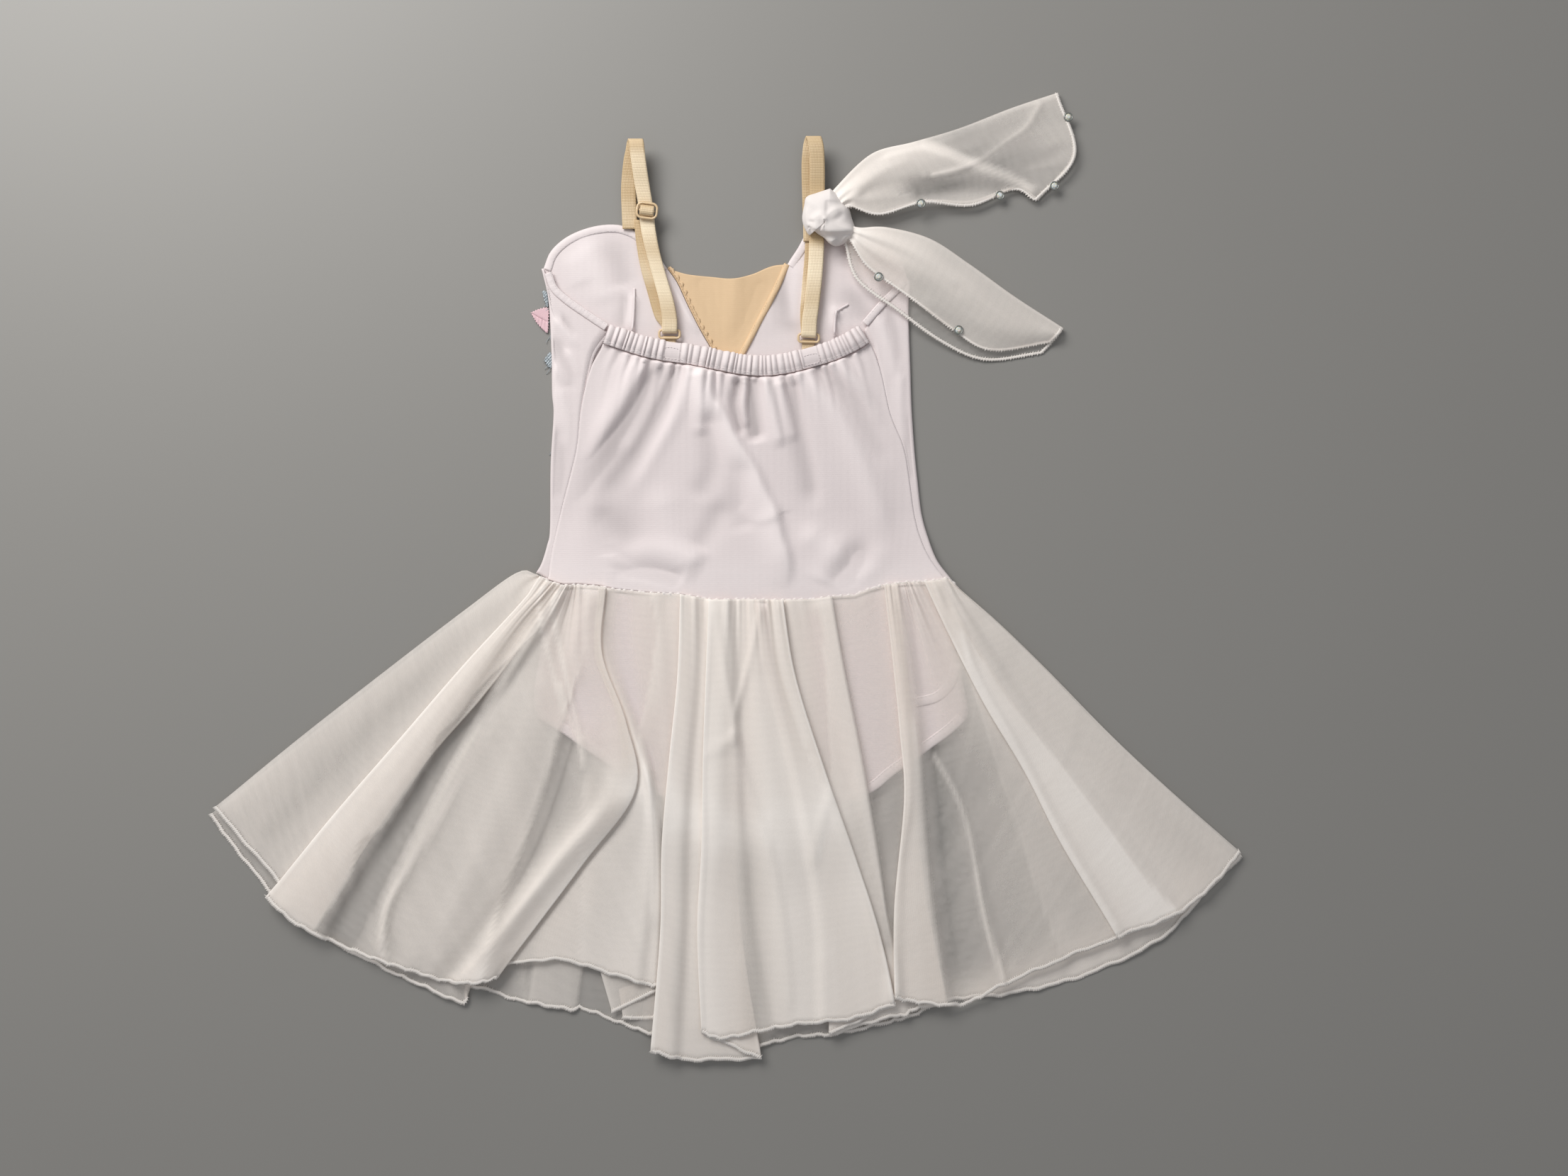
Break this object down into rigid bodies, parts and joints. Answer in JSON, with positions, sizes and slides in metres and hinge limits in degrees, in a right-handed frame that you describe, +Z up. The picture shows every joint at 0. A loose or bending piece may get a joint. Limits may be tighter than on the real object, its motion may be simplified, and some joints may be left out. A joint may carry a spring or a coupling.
{
  "type": "lyrical ballet dress with camisole leotard and chiffon skirt, laid flat",
  "caption": "Camisole leotard dress laid flat on its front, with a gathered open back, crossing folds in a full chiffon skirt, adjustable straps and a chiffon bow on one strap.",
  "frame": {"origin": "middle of the whole footprint at table height", "axes": "+X to the right as the dress lies back upwards, +Y from the hem towards the straps, +Z up from the table"},
  "size_m": [0.729, 0.6836, 0.0198],
  "materials": {
    "white_spandex": "smooth white stretch knit, soft sheen",
    "white_chiffon": "semi-sheer white crepe chiffon with overlocked edges",
    "nude_spandex": "smooth skin-coloured stretch knit",
    "nude_elastic": "satin-faced strap elastic, finely ribbed",
    "nude_coated_wire": "nylon-coated wire, satin",
    "pink_felt": "pinked pale pink cloth, matt",
    "silver_lace": "silver thread lace"
  },
  "bodies": {
    "root": {"bodice_front": "white_spandex", "bodice_back": "white_spandex", "back_casing": "white_spandex", "binding_cup_left": "white_spandex", "binding_cup_right": "white_spandex", "binding_armhole_left": "white_spandex", "binding_armhole_right": "white_spandex", "brief_front": "white_spandex", "brief_back": "white_spandex", "skirt_front": "white_chiffon", "skirt_back": "white_chiffon", "knot": "white_chiffon", "tail_upper": "white_chiffon", "tail_lower": "white_chiffon", "neck_insert": "nude_spandex", "strap_left": "nude_elastic", "strap_right": "nude_elastic", "tab_left": "nude_elastic", "tab_right": "nude_elastic", "slider_left": "nude_coated_wire", "ring_left": "nude_coated_wire", "ring_right": "nude_coated_wire", "flower_petal": "pink_felt", "lace_upper": "silver_lace", "lace_lower": "silver_lace"}
  },
  "joints": []
}
